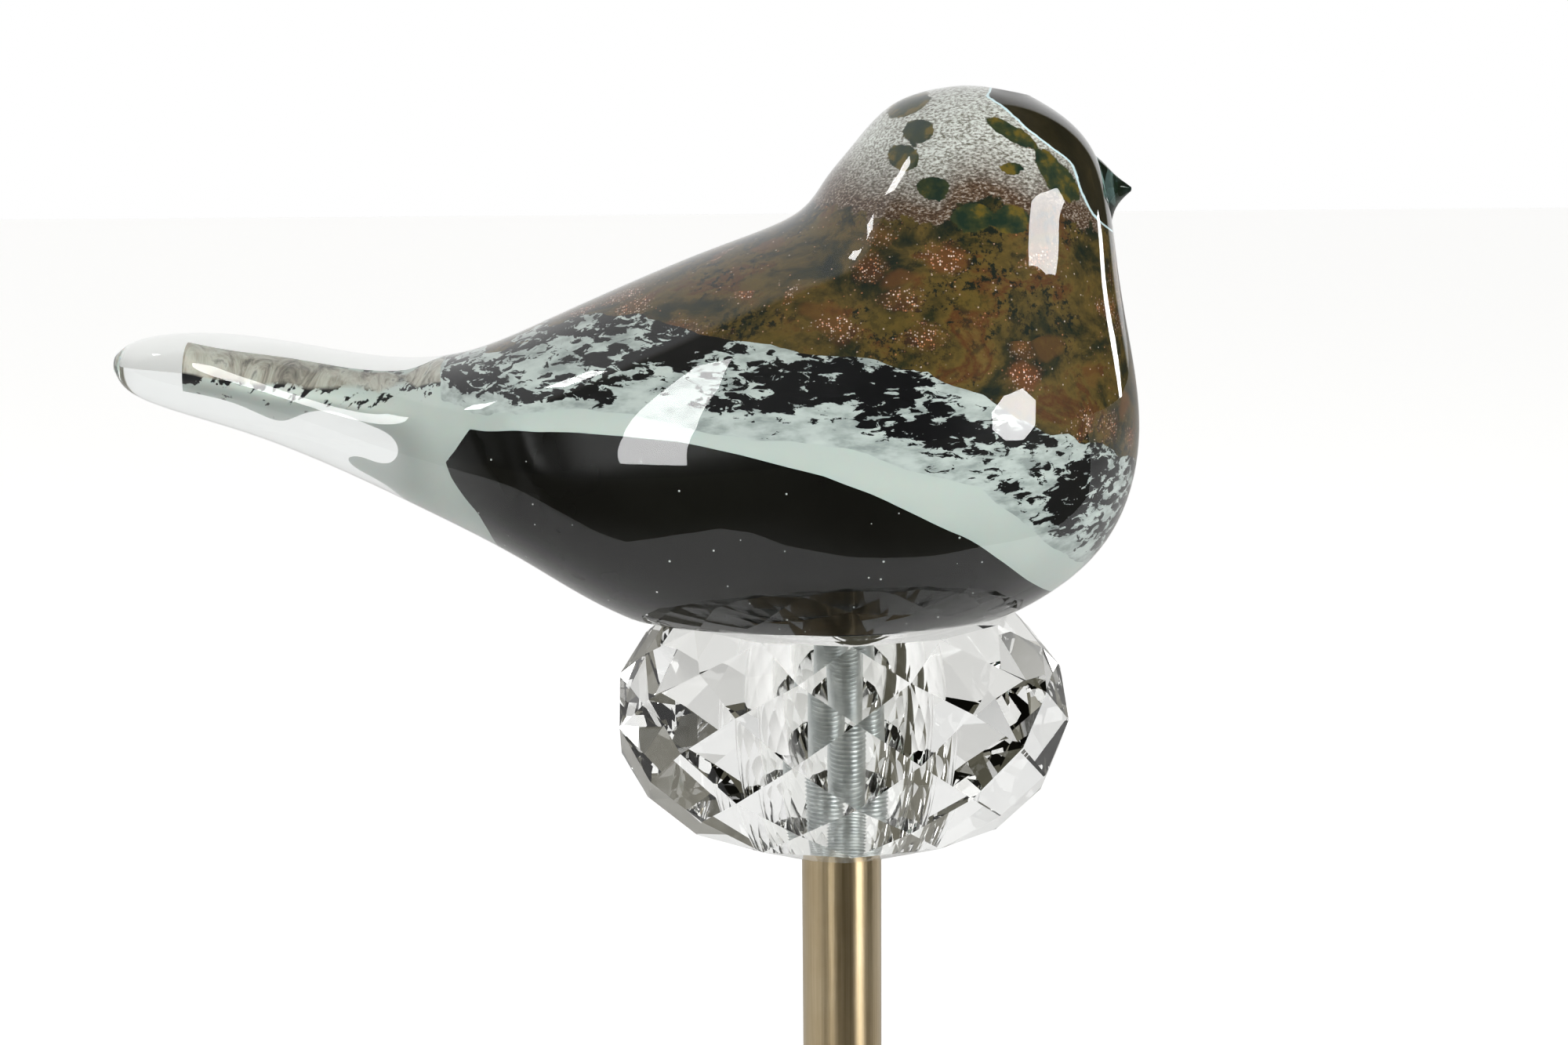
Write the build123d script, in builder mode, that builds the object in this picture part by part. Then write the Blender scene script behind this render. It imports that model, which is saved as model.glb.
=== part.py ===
from build123d import *
from math import atan2, cos, hypot, radians, sin
import os

# A solid art-glass bird that sits on a faceted crystal rondelle, on a brass tube with a weighted
# round base. One fine-threaded rod runs from a nut under the base to a bush in the bird.
# Millimetres, +Z up, origin at the middle of the felt's underside, +X towards the beak.

# ---- stand ----
felt_radius = 72.0
felt_thickness = 2.0
felt_window = 18.0              # radius of the hole that leaves the nut in reach

cover_foot_radius = 75.0
cover_foot_height = 5.0
cover_round = 3.0               # quarter round over the foot, and the cove above the step
cover_step_radius = 66.0
cover_dome_radius = 62.0
cover_seat_radius = 15.0        # flat that carries the collar
cover_height = 20.0
cover_wall = 1.2
cover_cove = 4.0
cover_shoulder = 2.4            # how far the dome has dropped at cover_shoulder_radius
cover_shoulder_radius = 38.4

weight_gap = 0.6                # air between the casting and the cover's side
weight_rim_bevel = 3.0
weight_drop = 4.2               # how far the casting's top has dropped at weight_drop_radius
weight_drop_radius = 37.2
weight_recess_radius = 18.0
weight_recess_depth = 11.0

rod_radius = 6.0                # M12 x 1 threaded rod
rod_chamfer = 0.8
rod_bottom = 3.0
rod_reach = 18.0                # how far the rod enters the bird
rod_clearance = 0.2             # plain holes that the rod only passes through
thread_clearance = 0.05         # tapped parts

nut_flats = 19.0
nut_height = 6.0
nut_chamfer = 0.5
lock_washer_radius = 10.5
lock_washer_thickness = 1.0
lock_tooth_count = 10
lock_tooth_depth = 1.4
flat_washer_radius = 12.0
flat_washer_thickness = 2.0

collar_foot_radius = 14.0
collar_neck_radius = 9.8
collar_height = 13.0
collar_floor = 3.0              # thickness below the tube's end
collar_bead = 1.1
collar_rim = 2.5                # upright edge at the foot
collar_throat = 1.5             # straight neck below the bead
collar_cove = 8.0

tube_radius = 8.0
tube_wall = 0.8
tube_length = 150.0
plug_length = 12.0
fit_gap = 0.05

# ---- crystal ----
seat_thickness = 1.0            # clear washer between tube and crystal
facets_round = 12
equator_radius = 45.4
tier_heights = (8.1, 14.3, 20.3)    # corner rings above, and mirrored below, the equator
crystal_foot_radius = 12.5
crystal_foot_depth = 28.0
first_corner = 2.4              # degrees, heading of one corner of the odd rings from -Y
bore_foot_radius = 6.8
bore_belly_radius = 13.6
bore_mouth_radius = 10.5

# ---- bird ----
bird_washer_radius = 25.0
bird_washer_thickness = 0.95
turning_gap = 0.05              # under the bird, so that it turns freely
casing_floor = 5.0              # clear glass under the coloured cores
insert_radius = 9.0
insert_length = 22.0
insert_cap = 2.0
section_points = 12             # an oval section is a smooth closed curve through these

# Sections of the bird, from tail tip to crown: where each meets the back line, where it meets
# the belly and breast line, both in side view, and its half width. The planes fan out from the
# upright tail sections to the nearly level ones through the head.
sections = [
    ((-140.6, 72.2), (-140.9, 68.4), 3.0),
    ((-137.5, 74.4), (-138.2, 65.0), 6.5),
    ((-118.0, 75.8), (-115.0, 56.6), 13.5),
    ((-88.0, 71.3), (-80.0, 41.3), 22.5),
    ((-58.0, 78.0), (-40.0, 21.0), 36.0),
    ((-26.0, 91.2), (6.0, 12.6), 44.5),
    ((-6.0, 100.3), (46.0, 29.0), 44.0),
    ((2.0, 110.8), (58.2, 62.0), 34.5),
    ((11.0, 119.5), (52.9, 90.0), 26.5),
    ((20.5, 122.3), (48.6, 110.0), 19.0),
    ((24.0, 122.6), (43.5, 116.0), 13.5),
    ((26.5, 122.6), (36.5, 120.5), 7.5),
]

# Sections of the coloured cores inside it, thin in the tail and close under the skin elsewhere.
core_sections = [
    ((-126.5, 70.8), (-126.0, 66.6), 2.6),
    ((-107.0, 64.9), (-106.6, 62.2), 3.8),
    ((-89.5, 60.6), (-89.0, 56.9), 4.8),
    ((-82.0, 61.2), (-80.5, 53.8), 7.0),
    ((-70.0, 69.2), (-67.0, 42.4), 22.0),
    ((-54.8, 75.7), (-39.5, 22.8), 33.5),
    ((-24.8, 88.2), (5.8, 15.6), 41.5),
    ((-5.6, 97.2), (42.2, 29.2), 41.3),
    ((4.6, 109.2), (55.1, 60.0), 32.0),
    ((12.4, 116.6), (50.9, 85.4), 24.5),
    ((21.0, 119.2), (46.9, 106.6), 16.5),
    ((24.2, 119.5), (41.4, 113.6), 10.5),
]

# Lines in side view where one glass meets the next.
back_line = [(-78, 66), (-67.7, 70.3), (-55, 75.3), (-39.5, 78.8), (-24.8, 77), (-3.6, 74.8),
             (14.3, 71.1), (24, 68.2), (38.2, 59.6), (50.6, 53.9), (66, 46)]
speckle_line = [(-82, 72), (-75, 61.5), (-63, 62.5), (-48, 64), (-29, 62), (-10.8, 60), (10, 55.3),
                (24, 51), (39, 37.7), (60, 22)]
belly_line = [(-58, 12), (-65.4, 42.7), (-70.5, 49.7), (-73.3, 53.5), (-69.1, 58.8), (-60, 60), (-39, 59.8),
              (-18, 57), (5.8, 50.2), (22.8, 41.3), (37.7, 29.2), (52, 18)]
beak_sections = [                       # across the bird's front, as above
    ((44.0, 113.0), (48.5, 91.5), 8.5),
    ((49.8, 108.6), (51.9, 94.8), 5.2),
    ((53.2, 105.3), (53.3, 98.9), 2.5),
    ((56.4, 103.2), (56.2, 101.8), 0.6),
]

os.makedirs("parts", exist_ok=True)

# ---- heights, from the table up ----
weight_bottom = felt_thickness
recess_top = weight_bottom + weight_recess_depth
cover_top = weight_bottom + cover_height
tube_bottom = cover_top + collar_floor
tube_top = tube_bottom + tube_length
crystal_bottom = tube_top + seat_thickness
equator = crystal_bottom + crystal_foot_depth
table = equator + tier_heights[-1]
bird_base = table + bird_washer_thickness + turning_gap
rod_top = bird_base + rod_reach
hole_radius = rod_radius + rod_clearance
tapped_radius = rod_radius + thread_clearance


def ring(outer, inner, bottom, height):
    """A plain turned ring on the stem's axis."""
    with BuildPart() as turned:
        with BuildSketch(Plane.XY.offset(bottom)):
            Circle(outer)
            Circle(inner, mode=Mode.SUBTRACT)
        extrude(amount=height)
    return turned.part


# ---- felt pad ----
with BuildPart() as base_felt:
    add(ring(felt_radius, felt_window, 0, felt_thickness))

# ---- spun cover: foot, quarter round, step, cove and a low dome, open underneath ----
step_height = weight_bottom + cover_foot_height + cover_round
with BuildPart() as base_cover:
    with BuildSketch(Plane.XZ):
        with BuildLine():
            foot = Line((0, weight_bottom), (cover_foot_radius, weight_bottom))
            side = Line(foot @ 1, (cover_foot_radius, weight_bottom + cover_foot_height))
            over = RadiusArc(side @ 1, (cover_foot_radius - cover_round, step_height), -cover_round)
            step = Line(over @ 1, (cover_step_radius, step_height))
            cove = RadiusArc(step @ 1, (cover_dome_radius, step_height + cover_cove), cover_cove)
            dome = ThreePointArc(cove @ 1, (cover_shoulder_radius, cover_top - cover_shoulder),
                                 (cover_seat_radius, cover_top))
            seat = Line(dome @ 1, (0, cover_top))
            Line(seat @ 1, foot @ 0)
        make_face()
    revolve(axis=Axis.Z)
    offset(amount=-cover_wall, openings=base_cover.faces().sort_by(Axis.Z)[0])
    with Locations((0, 0, cover_top)):
        Hole(hole_radius, depth=2 * cover_wall)

# ---- cast weight, with a recess for the nut ----
weight_seat = cover_top - cover_wall
weight_ledge = step_height - cover_wall - weight_gap
with BuildPart() as base_weight:
    with BuildSketch(Plane.XZ):
        with BuildLine():
            rim = cover_foot_radius - cover_wall - weight_gap
            shoulder = cover_dome_radius - cover_wall - weight_gap
            Polyline((hole_radius, weight_bottom), (rim, weight_bottom),
                     (rim, weight_ledge - weight_rim_bevel), (rim - weight_rim_bevel, weight_ledge),
                     (shoulder, weight_ledge), (shoulder, step_height + weight_gap),
                     (weight_drop_radius, weight_seat - weight_drop), (cover_seat_radius - 2, weight_seat),
                     (hole_radius, weight_seat), close=True)
        make_face()
    revolve(axis=Axis.Z)
    with BuildSketch(Plane.XY.offset(weight_bottom)):
        Circle(weight_recess_radius)
    extrude(amount=weight_recess_depth, mode=Mode.SUBTRACT)

# ---- washers and nut in the recess ----
flat_washer_bottom = recess_top - flat_washer_thickness
with BuildPart() as base_washer:
    add(ring(flat_washer_radius, hole_radius, flat_washer_bottom, flat_washer_thickness))

lock_washer_bottom = flat_washer_bottom - lock_washer_thickness
with BuildPart() as base_lock_washer:
    with BuildSketch(Plane.XY.offset(lock_washer_bottom)):
        Circle(lock_washer_radius)
        Circle(hole_radius, mode=Mode.SUBTRACT)
        with PolarLocations(lock_washer_radius, lock_tooth_count):
            Circle(lock_tooth_depth, mode=Mode.SUBTRACT)
    extrude(amount=lock_washer_thickness)

with BuildPart() as base_nut:
    with BuildSketch(Plane.XY.offset(lock_washer_bottom - nut_height)):
        RegularPolygon(nut_flats / 2, 6, major_radius=False)
        Circle(tapped_radius, mode=Mode.SUBTRACT)
    extrude(amount=nut_height)
    chamfer(base_nut.edges().filter_by(GeomType.CIRCLE), nut_chamfer)

# ---- threaded rod, drawn at its full thread diameter ----
with BuildPart() as threaded_rod:
    with BuildSketch(Plane.XY.offset(rod_bottom)):
        Circle(rod_radius)
    extrude(amount=rod_top - rod_bottom)
    chamfer(threaded_rod.edges().filter_by(GeomType.CIRCLE), rod_chamfer)

# ---- turned collar: a foot, a cove and a bead round the tube ----
collar_top = cover_top + collar_height
with BuildPart() as base_collar:
    with BuildSketch(Plane.XZ):
        with BuildLine():
            under = Line((hole_radius, cover_top), (collar_foot_radius, cover_top))
            rim = Line(under @ 1, (collar_foot_radius, cover_top + collar_rim))
            neck_top = collar_top - 2 * collar_bead - collar_throat
            neck = RadiusArc(rim @ 1, (collar_neck_radius, neck_top), collar_cove)
            throat = Line(neck @ 1, (collar_neck_radius, collar_top - 2 * collar_bead))
            bead = ThreePointArc(throat @ 1, (collar_neck_radius + collar_bead, collar_top - collar_bead),
                                 (collar_neck_radius, collar_top))
            top = Line(bead @ 1, (tube_radius + fit_gap, collar_top))
            socket = Line(top @ 1, (tube_radius + fit_gap, tube_bottom))
            floor = Line(socket @ 1, (hole_radius, tube_bottom))
            Line(floor @ 1, under @ 0)
        make_face()
    revolve(axis=Axis.Z)

# ---- brass tube and the two bushes that centre the rod in it ----
tube_bore = tube_radius - tube_wall
with BuildPart() as stem_tube:
    add(ring(tube_radius, tube_bore, tube_bottom, tube_length))

with BuildPart() as stem_plug_lower:
    add(ring(tube_bore - fit_gap, hole_radius, tube_bottom, plug_length))

with BuildPart() as stem_plug_upper:
    add(ring(tube_bore - fit_gap, hole_radius, tube_top - plug_length, plug_length))

# ---- clear washer under the crystal ----
with BuildPart() as crystal_seat_washer:
    add(ring(tube_radius, hole_radius, tube_top, seat_thickness))


half_step = cos(radians(180 / facets_round))


def corner_rings():
    """Radius and height of the crystal's corner rings, so that every diamond facet is flat."""
    heights = (0.0,) + tier_heights
    radii = [equator_radius, equator_radius * half_step]
    for k in range(1, len(tier_heights)):
        run = radii[k] * half_step - radii[k - 1]
        rise = (heights[k + 1] - heights[k - 1]) / (heights[k] - heights[k - 1])
        radii.append(radii[k - 1] + run * rise)
    return radii, heights


def facet_plane(radius, height, lower_radius, lower_height, heading):
    """Plane of one facet, through two points of its middle line, facing outwards."""
    tilt = atan2(lower_radius - radius, height - lower_height)
    out = (sin(heading) * cos(tilt), -cos(heading) * cos(tilt), sin(tilt))
    place = (radius * sin(heading), -radius * cos(heading), equator + height)
    return Plane(origin=place, z_dir=out)


# ---- crystal: a round blank, its facets ground one tier after another ----
ring_radii, ring_heights = corner_rings()
with BuildPart() as crystal_rondelle:
    with BuildSketch(Plane.XY.offset(crystal_bottom)):
        Circle(equator_radius + 1)
    extrude(amount=table - crystal_bottom)
    for side in (1, -1):
        for j in range(facets_round):
            odd_corner = radians(first_corner + j * 360 / facets_round)
            even_corner = odd_corner + radians(180 / facets_round)
            for k, height in enumerate(ring_heights):
                if k == 0 and side < 0:
                    continue
                heading = odd_corner if k % 2 == 0 else even_corner
                if k == 0:
                    upper = (ring_radii[1], ring_heights[1])
                    lower = (ring_radii[1], -ring_heights[1])
                else:
                    upper = (ring_radii[k] * half_step, side * height)
                    lower = (ring_radii[k - 1], side * ring_heights[k - 1])
                if side < 0:
                    upper, lower = lower, upper
                split(bisect_by=facet_plane(*upper, *lower, heading), keep=Keep.BOTTOM)
            last = (ring_radii[-1] * half_step, -ring_heights[-1])
            foot_corner = (crystal_foot_radius * half_step, -crystal_foot_depth)
            split(bisect_by=facet_plane(*last, *foot_corner, even_corner), keep=Keep.BOTTOM)
    with BuildSketch(Plane.XZ):
        with BuildLine():
            wall = ThreePointArc((bore_foot_radius, crystal_bottom), (bore_belly_radius, equator),
                                 (bore_mouth_radius, table))
            Polyline(wall @ 1, (0, table), (0, crystal_bottom), wall @ 0)
        make_face()
    revolve(axis=Axis.Z, mode=Mode.SUBTRACT)

# ---- clear washer under the bird ----
with BuildPart() as bird_seat_washer:
    add(ring(bird_washer_radius, hole_radius, table, bird_washer_thickness))


def glass_body(ovals):
    """Loft through oval sections given by their top and bottom points and half width."""
    with BuildPart() as body:
        for top, bottom, width in ovals:
            rise = (top[0] - bottom[0], 0, top[1] - bottom[1])
            middle = ((top[0] + bottom[0]) / 2, 0, equator + (top[1] + bottom[1]) / 2)
            tilt = Plane(origin=middle, x_dir=rise, z_dir=(rise[2], 0, -rise[0]))
            height = hypot(rise[0], rise[2]) / 2
            around = [radians(i * 360 / section_points) for i in range(section_points)]
            with BuildSketch(tilt):
                with BuildLine():
                    Spline(*[(height * cos(a), width * sin(a)) for a in around], periodic=True)
                make_face()
        loft()
    return body.part


def ground_flat(body, height):
    """The body with everything below a height ground away."""
    with BuildPart() as ground:
        add(body)
        with Locations((0, 0, height)):
            Box(400, 200, 100, align=(Align.CENTER, Align.CENTER, Align.MAX), mode=Mode.SUBTRACT)
    return ground.part


def region(line, corners):
    """A slab as wide as the bird whose side view is bounded by a smooth line and corners."""
    with BuildPart() as slab:
        with BuildSketch(Plane.XZ):
            with BuildLine():
                edge = Spline(*[(x, equator + z) for x, z in line])
                Polyline(edge @ 1, *[(x, equator + z) for x, z in corners], edge @ 0)
            make_face()
        extrude(amount=60, both=True)
    return slab.part


outer_body = ground_flat(glass_body(sections), bird_base)
inner_body = ground_flat(glass_body(core_sections), bird_base + casing_floor)

with BuildPart() as drill:
    with BuildSketch(Plane.XY.offset(bird_base)):
        Circle(insert_radius + fit_gap)
    extrude(amount=insert_length)
with BuildPart() as drilled_core:
    add(inner_body)
    add(drill.part, mode=Mode.SUBTRACT)
glass_core = drilled_core.part
above_back = region(back_line, [(66, 140), (-78, 140)])
above_speckle = region(speckle_line, [(60, 140), (-82, 140)])
belly = region(belly_line, [(52, 0), (-58, 0)])

# ---- clear outer gather ----
with BuildPart() as bird_casing:
    add(outer_body)
    add(inner_body, mode=Mode.SUBTRACT)
    add(drill.part, mode=Mode.SUBTRACT)

# ---- amber aventurine over crown, neck, breast and back ----
with BuildPart() as bird_back_layer:
    add(glass_core)
    add(above_back, mode=Mode.INTERSECT)

# ---- black and white speckle band ----
with BuildPart() as bird_speckle_layer:
    add(glass_core)
    add(above_speckle, mode=Mode.INTERSECT)
    add(above_back, mode=Mode.SUBTRACT)

# ---- grey-green opal, from the tail to the breast ----
with BuildPart() as bird_opal_layer:
    add(glass_core)
    add(above_speckle, mode=Mode.SUBTRACT)
    add(belly, mode=Mode.SUBTRACT)

# ---- black core of the belly ----
with BuildPart() as bird_belly_core:
    add(glass_core)
    add(belly, mode=Mode.INTERSECT)
    add(above_speckle, mode=Mode.SUBTRACT)

# ---- beak: a bit of teal glass pulled to a point on the front of the head ----
with BuildPart() as bird_beak:
    add(glass_body(beak_sections))
    add(outer_body, mode=Mode.SUBTRACT)

# ---- threaded bush glued into the drilled base ----
with BuildPart() as bird_insert:
    add(ring(insert_radius, tapped_radius, bird_base, insert_length - insert_cap))
    with BuildSketch(Plane.XY.offset(bird_base + insert_length - insert_cap)):
        Circle(insert_radius)
    extrude(amount=insert_cap)

nodes = {
    "base_felt": base_felt, "base_cover": base_cover, "base_weight": base_weight,
    "base_washer": base_washer, "base_lock_washer": base_lock_washer, "base_nut": base_nut,
    "threaded_rod": threaded_rod, "base_collar": base_collar, "stem_tube": stem_tube,
    "stem_plug_lower": stem_plug_lower, "stem_plug_upper": stem_plug_upper,
    "crystal_seat_washer": crystal_seat_washer, "crystal_rondelle": crystal_rondelle,
    "bird_seat_washer": bird_seat_washer, "bird_casing": bird_casing,
    "bird_back_layer": bird_back_layer, "bird_speckle_layer": bird_speckle_layer,
    "bird_opal_layer": bird_opal_layer, "bird_belly_core": bird_belly_core,
    "bird_beak": bird_beak, "bird_insert": bird_insert,
}
for name, piece in nodes.items():
    piece.part.label = name
    export_step(piece.part, f"parts/{name}.step")
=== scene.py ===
import math

import bmesh
import bpy
import numpy as np
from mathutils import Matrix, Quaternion, Vector, noise


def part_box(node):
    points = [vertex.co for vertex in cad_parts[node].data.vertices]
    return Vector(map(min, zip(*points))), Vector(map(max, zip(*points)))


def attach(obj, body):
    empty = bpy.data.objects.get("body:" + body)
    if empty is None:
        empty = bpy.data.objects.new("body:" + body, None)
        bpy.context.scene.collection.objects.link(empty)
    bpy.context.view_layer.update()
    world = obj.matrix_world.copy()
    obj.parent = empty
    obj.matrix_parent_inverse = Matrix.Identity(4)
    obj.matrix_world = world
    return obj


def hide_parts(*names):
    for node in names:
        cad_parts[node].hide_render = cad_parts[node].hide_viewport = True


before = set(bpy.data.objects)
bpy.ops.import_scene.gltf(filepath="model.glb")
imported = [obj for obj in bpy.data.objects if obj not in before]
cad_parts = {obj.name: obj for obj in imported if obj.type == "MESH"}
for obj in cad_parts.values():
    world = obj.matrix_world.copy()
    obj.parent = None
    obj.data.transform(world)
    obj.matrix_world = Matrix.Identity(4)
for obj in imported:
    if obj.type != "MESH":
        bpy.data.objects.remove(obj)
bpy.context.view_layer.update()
MM = 0.001

# ---- camera -----------------------------------------------------------------------------------
# Half a metre from the stem, a little above the bird's back and looking slightly down, with the
# frame's lower edge just under the crystal so that the foot of the stand is left out.
crystal_depth = 28.0            # from the crystal's widest ring down to the tube
camera_aside, camera_back, camera_above = -11.1, 492.7, 123.2
look_down = math.radians(9.82)
camera_roll = math.radians(0.44)
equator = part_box("crystal_rondelle")[0].z + crystal_depth * MM


def in_scene(name, data):
    """A new object in the scene that holds the given data."""
    thing = bpy.data.objects.new(name, data)
    bpy.context.scene.collection.objects.link(thing)
    return thing


camera_data = bpy.data.cameras.new("camera")
camera_data.sensor_width = 36
camera_data.lens = 58.3
camera_data.clip_start = 0.01
camera = in_scene("camera", camera_data)
bpy.context.scene.camera = camera
sight = Vector((0, math.cos(look_down), -math.sin(look_down)))
camera.location = (camera_aside * MM, -camera_back * MM, equator + camera_above * MM)
camera.rotation_mode = "QUATERNION"
camera.rotation_quaternion = Quaternion(sight, camera_roll) @ sight.to_track_quat("-Z", "Y")

# ---- studio: pale floor, white surround, dim behind the camera ---------------------------------
# A white dome lights the glass from above, behind and the sides. The side that faces the front
# of the bird is dim, so that clear and black glass keep their dark lines.
dim_towards = math.radians(40.5)
dim_glow, dim_glow_in_glass, white_glow, zenith_glow = 0.035, 0.14, 0.9, 0.15
heart = Vector((0, 0, equator + 60 * MM))       # what the lamps point at, inside the bird


def add_node(tree, kind, values=None, **settings):
    """One shader or geometry node with its settings and unlinked input values."""
    node = tree.nodes.new(kind)
    for key, value in settings.items():
        setattr(node, key, value)
    for key, value in (values or {}).items():
        node.inputs[key].default_value = value
    return node


def calc(tree, operation, *values):
    """A Math node on links or plain numbers."""
    node = add_node(tree, "ShaderNodeMath", operation=operation)
    for socket, value in zip(node.inputs, values):
        if isinstance(value, (int, float)):
            socket.default_value = value
        else:
            tree.links.new(value, socket)
    return node.outputs[0]


def surface(name, **sockets):
    """A material with a Principled shader and the plain values set on it."""
    material = bpy.data.materials.new(name)
    material.use_nodes = True
    shader = material.node_tree.nodes["Principled BSDF"]
    for key, value in sockets.items():
        shader.inputs[key.replace("_", " ")].default_value = value
    return material, material.node_tree, shader


world = bpy.data.worlds.new("white dome")
bpy.context.scene.world = world
world.use_nodes = True
dome = world.node_tree
background = dome.nodes["Background"]
direction = add_node(dome, "ShaderNodeTexCoord")
axes = add_node(dome, "ShaderNodeSeparateXYZ")
dome.links.new(direction.outputs["Generated"], axes.inputs[0])
dim_side = calc(dome, "SUBTRACT", calc(dome, "MULTIPLY", axes.outputs["X"], math.sin(dim_towards)),
                calc(dome, "MULTIPLY", axes.outputs["Y"], math.cos(dim_towards)))
seen = add_node(dome, "ShaderNodeLightPath")
front = add_node(dome, "ShaderNodeMapRange",
                 {"From Min": -0.24, "From Max": -0.33, "To Max": white_glow},
                 interpolation_type="SMOOTHSTEP")
dome.links.new(dim_side, front.inputs["Value"])
dome.links.new(calc(dome, "MULTIPLY_ADD", seen.outputs["Is Transmission Ray"], dim_glow_in_glass,
                    dim_glow), front.inputs["To Min"])
above = add_node(dome, "ShaderNodeMapRange",
                 {"From Min": 0.6, "From Max": 0.9, "To Min": 0.0, "To Max": zenith_glow},
                 interpolation_type="SMOOTHSTEP")
dome.links.new(axes.outputs["Z"], above.inputs["Value"])
strength = add_node(dome, "ShaderNodeMix", {"B": 1.0}, data_type="FLOAT")
dome.links.new(seen.outputs["Is Camera Ray"], strength.inputs["Factor"])
dome.links.new(calc(dome, "MAXIMUM", front.outputs[0], above.outputs[0]), strength.inputs["A"])
dome.links.new(strength.outputs[0], background.inputs["Strength"])
wall = add_node(dome, "ShaderNodeMix", data_type="RGBA")
wall.inputs["A"].default_value = (1.0, 0.94, 0.7, 1)
wall.inputs["B"].default_value = (1, 1, 1, 1)
dome.links.new(calc(dome, "MULTIPLY", strength.outputs[0], 1.2), wall.inputs["Factor"])
dome.links.new(wall.outputs["Result"], background.inputs["Color"])


def lamp_towards(name, directions, distance, power):
    """A flat lamp whose corners lie in the given (azimuth, elevation) directions from the bird."""
    rays = [Vector((math.sin(math.radians(a)) * math.cos(math.radians(e)),
                    -math.cos(math.radians(a)) * math.cos(math.radians(e)),
                    math.sin(math.radians(e)))) for a, e in directions]
    middle = sum(rays, Vector()).normalized()
    corners = [heart + ray * (distance / ray.dot(middle)) for ray in rays]
    inward = (corners[1] - corners[0]).cross(corners[2] - corners[1]).dot(middle) < 0
    mesh = bpy.data.meshes.new(name)
    mesh.from_pydata(corners if inward else corners[::-1], [], [range(len(corners))])
    lamp = in_scene(name, mesh)
    glow, tree, shader = surface(name)
    tree.nodes.remove(shader)
    light = add_node(tree, "ShaderNodeEmission", {"Strength": power})
    tree.links.new(light.outputs[0], tree.nodes["Material Output"].inputs[0])
    mesh.materials.append(glow)
    lamp.visible_camera = lamp.visible_shadow = False


eighths = [math.radians(22.5 + 45 * k) for k in range(8)]
lamp_towards("octagon_softbox", [(50 + 12 * math.cos(a), 3 + 9 * math.sin(a)) for a in eighths], 1.2, 17)
lamp_towards("high_octagon_softbox", [(57, 32.5), (68, 28.5), (79, 24.8), (85.5, 20), (78.5, 21),
                                       (71, 23.6), (64, 26.5), (58, 28.6)], 1.2, 14)
lamp_towards("tall_window", [(-27, 4), (-35, 8), (-39, 24), (-45, 38), (-55, 53), (-49, 54),
                             (-38, 42), (-31, 24)], 1.4, 12)
lamp_towards("high_strip", [(-91, 52.2), (-83, 52.2), (-83, 55), (-91, 55)], 1.3, 16)
lamp_towards("side_strip", [(124, -2), (127.5, -2), (131, 3), (127.5, 7), (124, 7)], 1.3, 10)

bpy.ops.mesh.primitive_plane_add(size=12)
floor = bpy.context.object
floor.name = "floor"
floor_paint, tree, shader = surface("pale floor", Base_Color=(0.93, 0.93, 0.93, 1), Roughness=0.7,
                                    Emission_Color=(1, 1, 1, 1))
path = add_node(tree, "ShaderNodeLightPath")
in_glass = calc(tree, "MULTIPLY", path.outputs["Is Transmission Ray"], 0.3)
tree.links.new(calc(tree, "MULTIPLY_ADD", path.outputs["Is Camera Ray"], 0.6, in_glass),
               shader.inputs["Emission Strength"])
floor.data.materials.append(floor_paint)

# A black cloth in front, seen only in reflections, leaves the lower breast half dark.
edge = [(-6.0, -2.9), (-0.6, -0.42), (-0.32, -0.25), (-0.24, -0.2), (-0.20, -0.19), (-0.185, -0.29),
        (-0.16, -0.37), (-0.11, -0.34), (-0.06, -0.27), (0.02, -0.20), (0.11, -0.145),
        (0.17, -0.12), (0.3, -0.02), (0.6, 0.12), (6.0, 0.2), (6.0, -6.0), (-6.0, -6.0)]
cloth = in_scene("black_cloth", bpy.data.meshes.new("black_cloth"))
cloth.data.from_pydata([(x, y, 0.0006) for x, y in edge], [], [range(len(edge))])
cloth_dye = surface("black cloth", Base_Color=(0, 0, 0, 1), Specular_IOR_Level=0.0,
                    Emission_Color=(1.0, 0.95, 0.7, 1), Emission_Strength=0.085)[0]
cloth.data.materials.append(cloth_dye)
cloth.visible_camera = cloth.visible_diffuse = cloth.visible_shadow = False

# A broad fill from beside the camera lights the coloured glass without being mirrored in it.
fill_data = bpy.data.lights.new("fill", "AREA")
fill_data.shape = "DISK"
fill_data.size = 1.2
fill_data.energy = 6
fill = in_scene("fill", fill_data)
fill.location = (0.3, -1.5, 1.0)
fill.rotation_mode = "QUATERNION"
fill.rotation_quaternion = (heart - fill.location).to_track_quat("-Z", "Y")
fill.visible_glossy = fill.visible_transmission = False

scene = bpy.context.scene
scene.view_settings.view_transform = "Standard"
scene.cycles.max_bounces = 20
scene.cycles.transmission_bounces = 16
scene.cycles.glossy_bounces = 10
scene.cycles.diffuse_bounces = 3
scene.cycles.sample_clamp_indirect = 4

# ---- felt pad ---------------------------------------------------------------------------------
# Dense dark wool felt, die-cut as a ring so that the nut stays in reach, glued under the base.


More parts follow.
